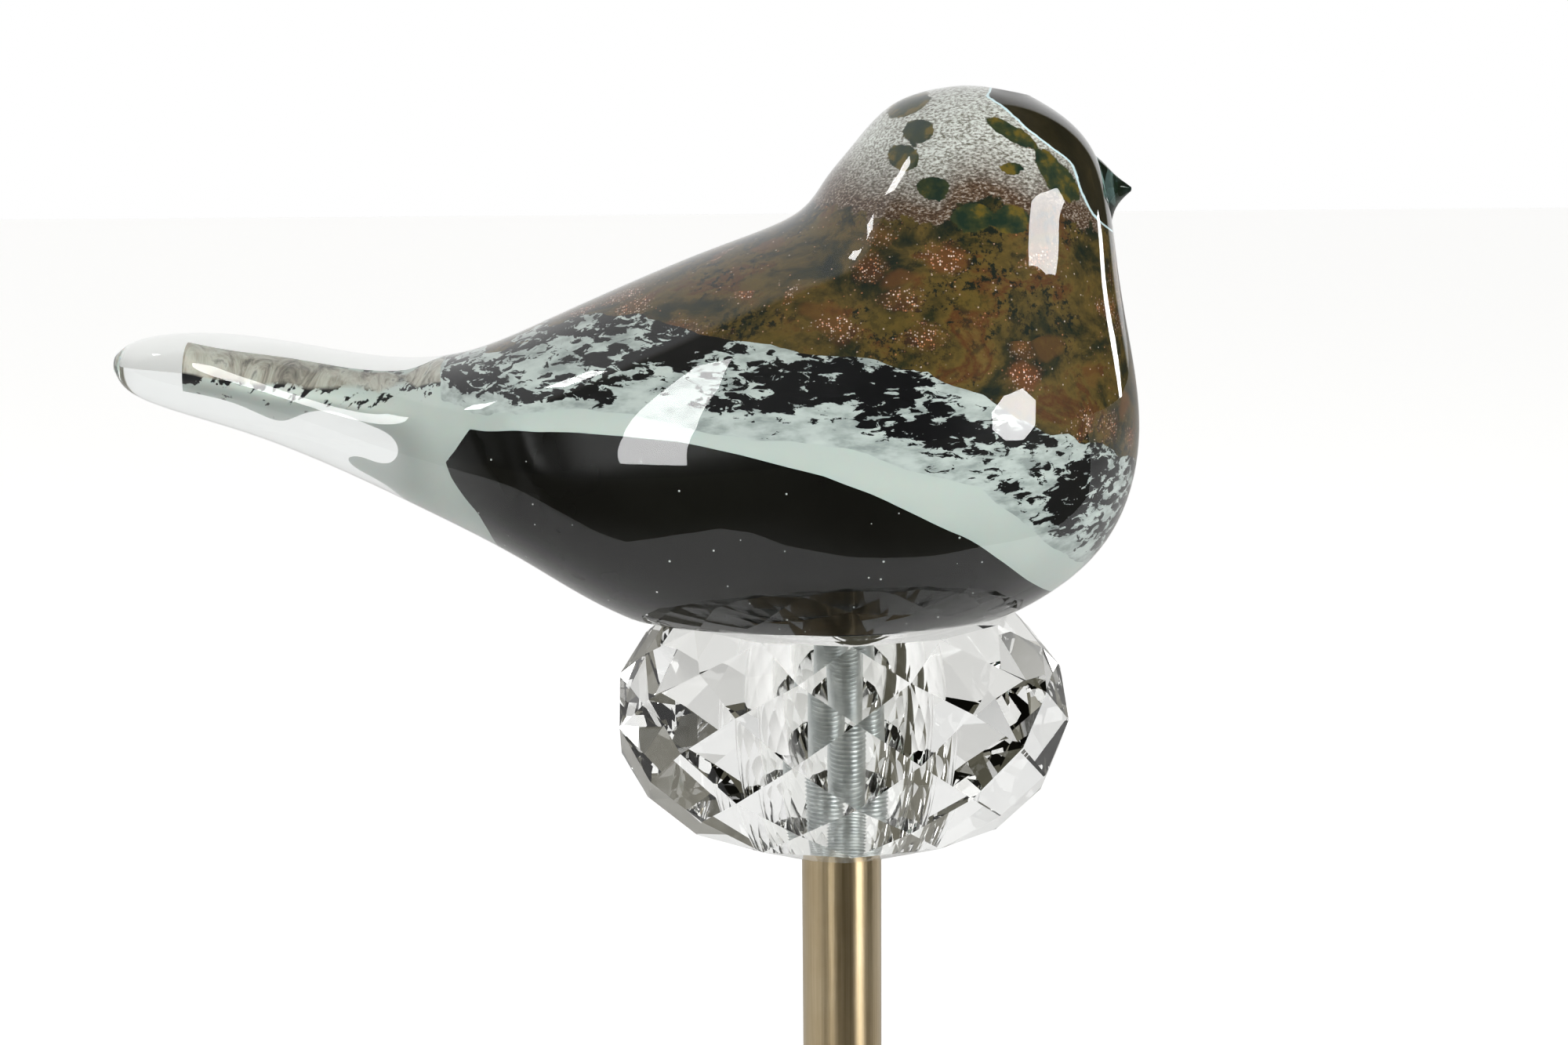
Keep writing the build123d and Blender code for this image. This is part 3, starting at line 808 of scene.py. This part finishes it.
base_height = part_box("bird_casing")[0].z
casing_glass = clear_glass("clear bird glass", (0.965, 0.985, 0.972), 1.5)
casing = oval_body("clear_casing", bird_rows, 18, 160, base_height, 0.15)
finished("clear_casing", casing, casing_glass, "bird", "clear_glass", "bird_casing")

# ---- bird: coloured cores ---------------------------------------------------------------------
# Under the clear gather lie four glasses, each picked up over the last: black, grey-green opal,
# a black and white speckle and an amber aventurine. Rows as above, for the surface they share.
core_rows = [
    (-126.5, 70.8, -126.0, 66.6, 2.6),
    (-117.0, 67.6, -116.6, 64.8, 3.6),
    (-107.0, 64.9, -106.6, 62.2, 3.8),
    (-98.0, 62.4, -97.6, 59.8, 3.8),
    (-89.5, 60.6, -89.0, 56.9, 4.8),
    (-82.0, 61.2, -80.5, 53.8, 7.0),
    (-76.0, 65.2, -74.2, 49.4, 13.0),
    (-70.0, 69.2, -67.0, 42.4, 22.0),
    (-62.5, 72.6, -56.0, 31.8, 30.0),
    (-54.8, 75.7, -39.5, 22.8, 33.5),
    (-24.8, 88.2, 5.8, 15.6, 41.5),
    (-5.6, 97.2, 42.2, 29.2, 41.3),
    (-0.2, 103.4, 52.6, 42.6, 37.5),
    (4.6, 109.2, 55.1, 60.0, 32.0),
    (12.4, 116.6, 50.9, 85.4, 24.5),
    (21.0, 119.2, 46.9, 106.6, 16.5),
    (24.2, 119.5, 41.4, 113.6, 10.5),
    (26.5, 119.4, 35.2, 117.6, 4.5),
]
clear_under = 5.0               # clear glass below the cores
core_mesh = oval_body("core", core_rows, 12, 144, base_height + clear_under * MM, 0.2)
core_points = [v.co.copy() for v in core_mesh.vertices]
core_faces = [tuple(p.vertices) for p in core_mesh.polygons]


def clipped(points, faces, values):
    """The part of a mesh where the values at its points are above nought."""
    points, values = list(points), list(values)
    cuts, kept = {}, []
    for face in faces:
        loop = []
        for a, b in zip(face, face[1:] + face[:1]):
            if values[a] >= 0:
                loop.append(a)
            if (values[a] >= 0) != (values[b] >= 0):
                key = (min(a, b), max(a, b))
                if key not in cuts:
                    t = values[a] / (values[a] - values[b])
                    cuts[key] = len(points)
                    points.append(points[a].lerp(points[b], t))
                    values.append(0.0)
                loop.append(cuts[key])
        if len(loop) > 2:
            kept.append(tuple(loop))
    used = sorted({i for face in kept for i in face})
    number = {old: new for new, old in enumerate(used)}
    return [points[i] for i in used], [tuple(number[i] for i in face) for face in kept]


def side_view(point):
    """Where a point stands in side view, in mm: forwards of the stem and above the equator."""
    return point.x / MM, (point.z - equator) / MM


def on_line(line, x):
    """The line's height at x."""
    return np.interp(x, *zip(*line))


def above_line(points, line, rough, size, seed):
    """How far each point stands above a line in side view, in mm, with an uneven edge."""
    values = []
    for p in points:
        x, z = side_view(p)
        spot = Vector((x / size, p.y / MM / size + seed, p.z / MM / size * 1.6))
        wander = noise.noise(spot) + 0.5 * noise.noise(spot * 2.7) + 0.3 * noise.noise(spot * 6.5)
        values.append(z - on_line(line, x) + rough * wander)
    return values


def layer(name, points, faces):
    """A sheet of coloured glass, given its thickness inwards."""
    mesh = bpy.data.meshes.new(name)
    mesh.from_pydata(points, [], faces)
    mesh.update()
    holder = in_scene(name + "_maker", mesh)
    wall = holder.modifiers.new("wall", "SOLIDIFY")
    wall.thickness = 1.4 * MM
    wall.offset = -1
    return made_plain(holder)


back_line = [(-160, 96), (-70, 70.5), (-67.7, 70.3), (-55, 75.3), (-45.6, 78.2), (-39.5, 78.8), (-32, 78.3),
             (-24.8, 77), (-16, 75.7), (-3.6, 74.8), (6, 73.5), (14.3, 71.1), (24, 68.2), (31, 62.5),
             (38.2, 59.6), (45.8, 57.2), (50.6, 53.9), (60, 48)]
speckle_line = [(-160, 90), (-79, 85), (-77, 66), (-75, 61.5), (-70, 61.8), (-63, 62.5),
                (-54, 63), (-48, 64), (-39, 63), (-29, 62), (-19, 60.3), (-10.8, 60), (0.3, 58.8),
                (10, 55.3), (24, 51), (31, 44.8), (39, 37.7), (44, 34), (50, 28)]
belly_top = [(-80, 59.1), (-69.1, 59.1), (-60, 60), (-50.8, 60.1), (-39, 59.8), (-29, 59), (-18, 57),
             (-4, 53.8), (5.8, 50.2), (14.2, 45.8), (22.8, 41.3), (28.8, 36.5), (33.5, 32.3),
             (37.7, 29.2), (50, 20)]
belly_end = [(58.8, -69.1), (54.9, -71.6), (53.2, -73.1), (51.6, -72.0), (49.8, -70.3), (46.1, -66.9),
             (43.1, -65.2), (30, -60)]


def opposite(values):
    """The same values with their signs turned."""
    return [-v for v in values]


over_back = above_line(core_points, back_line, 1.2, 6, 3.1)
back = clipped(core_points, core_faces, over_back)
under = clipped(core_points, core_faces, opposite(over_back))
over_speckle = above_line(under[0], speckle_line, 0.8, 6, 8.3)
speckle = clipped(*under, over_speckle)
under = clipped(*under, opposite(over_speckle))
behind_end = [p.x / MM - on_line(sorted(belly_end), side_view(p)[1]) for p in under[0]]
in_belly = [min(-up, along) for up, along in
            zip(above_line(under[0], belly_top, 0.25, 20, 5.2), behind_end)]
opal = clipped(*under, opposite(in_belly))
belly = clipped(*under, in_belly)

# ---- bird: amber aventurine -------------------------------------------------------------------
# Olive and brown glass mottled with green-black, full of copper glitter in drifts, whose glints are painted
# in as flakes coloured from copper to near white. Over the crown a frosted silver skin breaks up downwards,
# and a dark clear window runs from forehead to beak, its shade and inner reflection painted onto the layer.


def mark(mesh, name, values):
    """Stores one number per point for the material to read."""
    attribute = mesh.attributes.new(name, "FLOAT", "POINT")
    attribute.data.foreach_set("value", values)


def read_mark(tree, name):
    """The stored number as a shader value."""
    return add_node(tree, "ShaderNodeAttribute", attribute_name=name).outputs["Fac"]


crown_windows = [
    ((14.3, 116.7), (4.2, 1.0), 25), ((15.1, 113.0), (2.8, 2.0), 15), ((12.2, 108.6), (2.8, 2.4), 0),
    ((31.2, 112.8), (5.6, 1.3), -30), ((30.9, 106.8), (2.4, 1.1), 0), ((39.0, 105.2), (6.2, 2.4), -52),
    ((17.0, 103.4), (3.0, 2.2), 0), ((23.5, 98.4), (4.0, 2.8), 0), ((30.4, 98.0), (3.4, 2.8), 0),
]
window_line = [(86, 60.0), (95.4, 48.3), (97.7, 46.0), (101.3, 43.8), (104.3, 42.9), (107.5, 41.7),
               (109.2, 39.6), (110.9, 37.2), (112.8, 34.8), (115.6, 31.4), (116.8, 29.9),
               (118.1, 27.7), (120, 29.5), (124, 30)]
frost_line = [(-30, 104), (-3, 99), (1.4, 99.7), (5.8, 98.3), (11, 97.5), (13.8, 96.8), (17.9, 96.5),
              (20.5, 99.4), (24, 100.6), (26.4, 101), (28.4, 100), (32.6, 98.8), (34.2, 97.5),
              (39, 99.3), (44, 96), (60, 94)]
aventurine_mesh = layer("aventurine", *back)
frost, window, lens = [], [], []
for vertex in aventurine_mesh.vertices:
    x, z = side_view(vertex.co)
    spot = Vector((x / 9, vertex.co.y / MM / 9, z / 7))
    drift = noise.noise(spot) + 0.5 * noise.noise(spot * 2.6)
    frost.append((z - on_line(frost_line, x) + 1.5 * drift) / 12)
    window.append(x - on_line(window_line, z))
    nearest = -1.0
    for (wx, wz), (rx, rz), tilt in crown_windows:
        c, s = math.cos(math.radians(tilt)), math.sin(math.radians(tilt))
        across, up = (x - wx) * c + (z - wz) * s, (z - wz) * c - (x - wx) * s
        nearest = max(nearest, 1 - math.hypot(across / rx, up / rz))
    lens.append(nearest)
mark(aventurine_mesh, "frost", frost)
mark(aventurine_mesh, "window", window)
mark(aventurine_mesh, "lens", lens)

aventurine, tree, shader = surface("amber aventurine", Roughness=0.5, Specular_IOR_Level=0.1)
where = place(tree)
flow = place(tree, (0.75, 1, 1.1), (0, math.radians(25), 0))
cloud = grain(tree, flow, 95, 8, 0.66, 0.4)
mottle = ramp(tree, cloud, [(0.36, (0.006, 0.011, 0.007)), (0.43, (0.026, 0.025, 0.008)),
                            (0.49, (0.075, 0.052, 0.013)), (0.55, (0.115, 0.075, 0.017)),
                            (0.61, (0.085, 0.032, 0.010)), (0.7, (0.14, 0.09, 0.022))])
pores = grain(tree, where, 620, 5, 0.75)
dark_zone = remap(tree, grain(tree, place(tree, (1, 1, 1.3)), 55, 3), 0.46, 0.58)
pore_mask = calc(tree, "MULTIPLY", remap(tree, pores, 0.5, 0.42), calc(tree, "ADD", 0.25, dark_zone))
mottle = blended(tree, pore_mask, mottle, (0.006, 0.010, 0.007))
dimple = add_node(tree, "ShaderNodeTexVoronoi", {"Scale": 150, "Randomness": 1.0})
warped = add_node(tree, "ShaderNodeVectorMath", operation="MULTIPLY_ADD")
warp = add_node(tree, "ShaderNodeTexNoise", {"Scale": 160, "Detail": 2})
tree.links.new(where, warp.inputs["Vector"])
tree.links.new(warp.outputs["Color"], warped.inputs[0])
warped.inputs[1].default_value = (0.005, 0.005, 0.005)
tree.links.new(flow, warped.inputs[2])
tree.links.new(warped.outputs[0], dimple.inputs["Vector"])
dimple_parts = add_node(tree, "ShaderNodeSeparateColor")
tree.links.new(dimple.outputs["Color"], dimple_parts.inputs[0])
is_dimple = calc(tree, "MULTIPLY", remap(tree, dimple_parts.outputs["Red"], 0.55, 0.6),
                 remap(tree, dimple.outputs["Distance"], 0.5, 0.36))
ochre = ramp(tree, dimple_parts.outputs["Green"], [(0.2, (0.105, 0.072, 0.014)),
                                                   (0.8, (0.15, 0.052, 0.016))])
mottle = blended(tree, calc(tree, "MULTIPLY", is_dimple, 0.55), mottle, ochre)
flake = add_node(tree, "ShaderNodeTexVoronoi", {"Scale": 2500})
tree.links.new(where, flake.inputs["Vector"])
flake_parts = add_node(tree, "ShaderNodeSeparateColor")
tree.links.new(flake.outputs["Color"], flake_parts.inputs[0])
ragged = calc(tree, "ADD", dimple.outputs["Distance"], calc(tree, "MULTIPLY", pores, 0.5))
drifts = calc(tree, "MULTIPLY", remap(tree, dimple_parts.outputs["Blue"], 0.6, 0.7),
              remap(tree, ragged, 0.86, 0.5))
# Painted glints: the flakes, scattered thinly and thick in drifts, are coloured from copper to near white
# for the light they catch.
sparse_painted_glint = remap(tree, flake_parts.outputs["Red"], 0.975, 0.99, 0, 0.5)
painted_flake_glint = calc(tree, "MULTIPLY", remap(tree, flake_parts.outputs["Red"], 0.55, 0.75), drifts)
painted_flake_glint = calc(tree, "MULTIPLY", calc(tree, "MAXIMUM", painted_flake_glint, sparse_painted_glint),
             remap(tree, flake.outputs["Distance"], 0.52, 0.3))
copper_and_painted_glint = ramp(tree, flake_parts.outputs["Green"], [(0.25, (0.7, 0.27, 0.12)), (0.8, (1.0, 0.84, 0.72))])
warm = blended(tree, calc(tree, "MULTIPLY", drifts, 0.5), mottle, (0.13, 0.045, 0.016))
mottle = blended(tree, painted_flake_glint, warm, copper_and_painted_glint)
frost_grain = grain(tree, place(tree, (0.8, 1.0, 1.5), (0, 0.6, 0)), 1900, 3, 0.6)
frost_mark = read_mark(tree, "frost")
frost_white = ramp(tree, frost_grain, [(0.36, (0.16, 0.15, 0.12)), (0.47, (0.44, 0.43, 0.4)),
                                       (0.58, (0.74, 0.76, 0.73))])
frost_brown = ramp(tree, frost_grain, [(0.42, (0.045, 0.024, 0.013)), (0.54, (0.13, 0.08, 0.05)),
                                       (0.66, (0.42, 0.37, 0.32))])
frost_coat = blended(tree, remap(tree, frost_mark, 0.25, 1.0), frost_brown, frost_white)
lens_mark = read_mark(tree, "lens")
uneven = remap(tree, grain(tree, where, 330, 4, 0.65), 0.3, 0.7, -0.16, 0.16)
lens_mask = remap(tree, calc(tree, "ADD", lens_mark, uneven), 0.02, 0.1)
frost_mask = calc(tree, "MULTIPLY", remap(tree, calc(tree, "ADD", frost_mark, uneven), 0.0, 0.05),
                  calc(tree, "SUBTRACT", 1.0, lens_mask))
hollow = ramp(tree, grain(tree, where, 300, 4),
              [(0.38, (0.008, 0.022, 0.013)), (0.52, (0.03, 0.04, 0.014)), (0.62, (0.12, 0.085, 0.012))])
mottle = blended(tree, lens_mask, mottle, hollow)
mottle = blended(tree, frost_mask, mottle, frost_coat)
# The clear window is painted onto this layer: the glass's own smoky dark brown, with the shade of its depth
# and its inner reflection painted in, edged by a thin pale blue-white line.
window_mark = calc(tree, "ADD", read_mark(tree, "window"), uneven)
smoky_tone_and_painted_shade = ramp(tree, grain(tree, place(tree, (1, 1, 0.35), (0, 0.6, 0)), 120, 4),
             [(0.35, (0.007, 0.006, 0.002)), (0.62, (0.022, 0.017, 0.006)), (0.75, (0.06, 0.048, 0.016))])
mottle = blended(tree, remap(tree, window_mark, -0.45, -0.3), mottle, (0.72, 0.9, 0.96))
mottle = blended(tree, remap(tree, window_mark, 0.0, 0.12), mottle, smoky_tone_and_painted_shade)
painted(tree, shader, mottle)
bump(tree, shader, frost_grain, 0.0002, 0.4)
finished("aventurine", aventurine_mesh, aventurine, "bird", "amber_glass", "bird_back_layer", sharp=60)

# ---- bird: speckle band -----------------------------------------------------------------------
# Black and white crumbs rolled in hot and drawn out along the flank as the bird was pulled.
speckle_mesh = layer("speckle_band", *speckle)
depth = []
for vertex in speckle_mesh.vertices:
    x, z = side_view(vertex.co)
    upper, lower = on_line(back_line, x), on_line(speckle_line, x)
    depth.append(float(np.clip((upper - z) / max(upper - lower, 1.0), -0.5, 1.5)))
mark(speckle_mesh, "depth", depth)
speckled, tree, shader = surface("black and white speckle", Roughness=0.4, Specular_IOR_Level=0.1)
streak = place(tree, (0.36, 0.5, 1.0), (0, math.radians(10), 0))
crumbs = grain(tree, streak, 760, 4, 0.62, 0.6)
drawn = grain(tree, streak, 170, 3, 0.55, 0.5)
joined = calc(tree, "ADD", crumbs, calc(tree, "MULTIPLY", calc(tree, "SUBTRACT", drawn, 0.5), 0.9))
needed = ramp(tree, read_mark(tree, "depth"), [(at, (level,) * 3) for at, level in (
    (0.0, 0.50), (0.12, 0.53), (0.5, 0.525), (0.8, 0.46), (1.0, 0.22))])
excess = calc(tree, "SUBTRACT", joined, needed)
white = ramp(tree, grain(tree, streak, 420, 4, 0.6),
             [(0.36, (0.3, 0.34, 0.33)), (0.55, (0.52, 0.58, 0.56)), (0.7, (0.6, 0.66, 0.63))])
painted(tree, shader, blended(tree, remap(tree, excess, -0.008, 0.022), (0.003, 0.003, 0.004), white))
bump(tree, shader, crumbs, 0.0002, 0.25)
finished("speckle_band", speckle_mesh, speckled, "bird", "speckle_glass", "bird_speckle_layer", sharp=60)

# ---- bird: opal band --------------------------------------------------------------------------
# Milky grey-green glass. Along the top of the tail it folds over as a marbled grey-brown ribbon.
opal_mesh = layer("opal_band", *opal)
ribbon_line = [(-130, 68.3), (-124, 67.6), (-118.8, 66.6), (-107.5, 64.2), (-97.6, 61.6), (-88.8, 60.0),
               (-80.7, 60.6), (-76, 63.5), (-70, 67.8)]
ribbon = []
for vertex in opal_mesh.vertices:
    x, z = side_view(vertex.co)
    ribbon.append(z - on_line(ribbon_line, x) + 0.3 * noise.noise(Vector((x / 6, 0, 4.4))))
mark(opal_mesh, "ribbon", ribbon)
opaline, tree, shader = surface("grey-green opal", Roughness=0.35, Specular_IOR_Level=0.15,
                                Subsurface_Weight=0.15, Subsurface_Scale=0.004)
milk = ramp(tree, grain(tree, place(tree, (0.3, 1, 1)), 60, 3), [(0.3, (0.5, 0.56, 0.53)),
                                                               (0.7, (0.57, 0.63, 0.595))])
folds = grain(tree, place(tree, (1.6, 1, 0.35), (0, math.radians(15), 0)), 120, 5, 0.65, 1.5)
marble = ramp(tree, folds, [(0.35, (0.1, 0.095, 0.085)), (0.48, (0.36, 0.34, 0.29)),
                            (0.6, (0.52, 0.52, 0.46)), (0.7, (0.24, 0.24, 0.22))])
ribbon_mark = read_mark(tree, "ribbon")
flecks = grain(tree, place(tree, (0.45, 0.7, 1.0)), 800, 3, 0.6)
near = calc(tree, "ADD", flecks, calc(tree, "MULTIPLY", ribbon_mark, 0.09))
milk = blended(tree, remap(tree, near, 0.5, 0.53), milk, (0.01, 0.01, 0.012))
milk = blended(tree, remap(tree, ribbon_mark, 0.1, 0.35), milk, marble)
painted(tree, shader, milk)
finished("opal_band", opal_mesh, opaline, "bird", "opal_glass", "bird_opal_layer", sharp=60)

# ---- bird: black core -------------------------------------------------------------------------
# The first gather, near-black glass, with a few seeds of air caught over it.
jet, tree, shader = surface("black core glass", Roughness=0.2, Specular_IOR_Level=0.1)
painted(tree, shader, ramp(tree, grain(tree, place(tree), 40, 3),
                           [(0.3, (0.002, 0.002, 0.002)), (0.8, (0.006, 0.006, 0.005))]))
belly_mesh = layer("black_core", *belly)
finished("black_core", belly_mesh, jet, "bird", "black_glass", "bird_belly_core", sharp=60)

# ---- bird: seeds ------------------------------------------------------------------------------
# Tiny air bubbles between the core and the clear gather, thickest over the black, made as opaque beads
# whose pale silvery grey is painted reflection.
seeding, given, link = geometry_tree("scattered seeds", Geometry="Geometry", Density="Float",
                                     Smallest="Float", Largest="Float", Depth="Float", Seed="Int",
                                     Finish="Material")
scatter = add_node(seeding, "GeometryNodeDistributePointsOnFaces")
link(given["Geometry"], scatter.inputs["Mesh"])
link(given["Density"], scatter.inputs["Density"])
link(given["Seed"], scatter.inputs["Seed"])
outwards = add_node(seeding, "ShaderNodeVectorMath", operation="SCALE")
link(scatter.outputs["Normal"], outwards.inputs[0])
link(given["Depth"], outwards.inputs["Scale"])
clear_of_core = add_node(seeding, "GeometryNodeSetPosition")
link(scatter.outputs["Points"], clear_of_core.inputs["Geometry"])
link(outwards.outputs[0], clear_of_core.inputs["Offset"])
bead = add_node(seeding, "GeometryNodeMeshIcoSphere", {"Radius": 1.0, "Subdivisions": 2})
sizes = add_node(seeding, "FunctionNodeRandomValue", data_type="FLOAT")
link(given["Smallest"], sizes.inputs[2])
link(given["Largest"], sizes.inputs[3])
link(given["Seed"], sizes.inputs["Seed"])
many = add_node(seeding, "GeometryNodeInstanceOnPoints")
link(clear_of_core.outputs[0], many.inputs["Points"])
link(bead.outputs["Mesh"], many.inputs["Instance"])
link(sizes.outputs[1], many.inputs["Scale"])
hand_out(seeding, many.outputs[0], given["Finish"])
# Painted reflection: the beads are coloured pale silvery grey in place of the light that air seeds in glass
# reflect.
seed_painted_reflection, tree, shader = surface("air seed", Roughness=0.05, Specular_IOR_Level=1.0)
painted(tree, shader, ramp(tree, grain(tree, place(tree), 900),
                           [(0.3, (0.5, 0.53, 0.52)), (0.7, (0.85, 0.87, 0.86))]))
seeds = grown("air_seeds", seeding, belly_mesh.copy(), Density=9000.0, Smallest=0.00007,
              Largest=0.00022, Depth=0.0009, Seed=4, Finish=seed_painted_reflection)
finished("air_seeds", seeds, seed_painted_reflection, "bird", "clear_glass")

# ---- bird: beak -------------------------------------------------------------------------------
# A bit of clear teal glass touched on the front of the head and pulled to a short point.
teal = clear_glass("clear teal glass", (0.5, 0.78, 0.74), 1.5)
beak_rows = [
    (46.5, 111.0, 49.8, 93.0, 7.0),
    (49.8, 108.6, 51.9, 94.8, 5.2),
    (51.6, 106.9, 52.6, 96.9, 3.8),
    (53.2, 105.3, 53.3, 98.9, 2.5),
    (55.0, 103.9, 54.7, 100.8, 1.3),
    (56.2, 103.0, 56.0, 102.0, 0.45),
]
beak_mesh = oval_body("beak", beak_rows, 10, 64, equator, 0.2)
finished("beak", beak_mesh, teal, "bird", "teal_glass", "bird_beak", sharp=50)
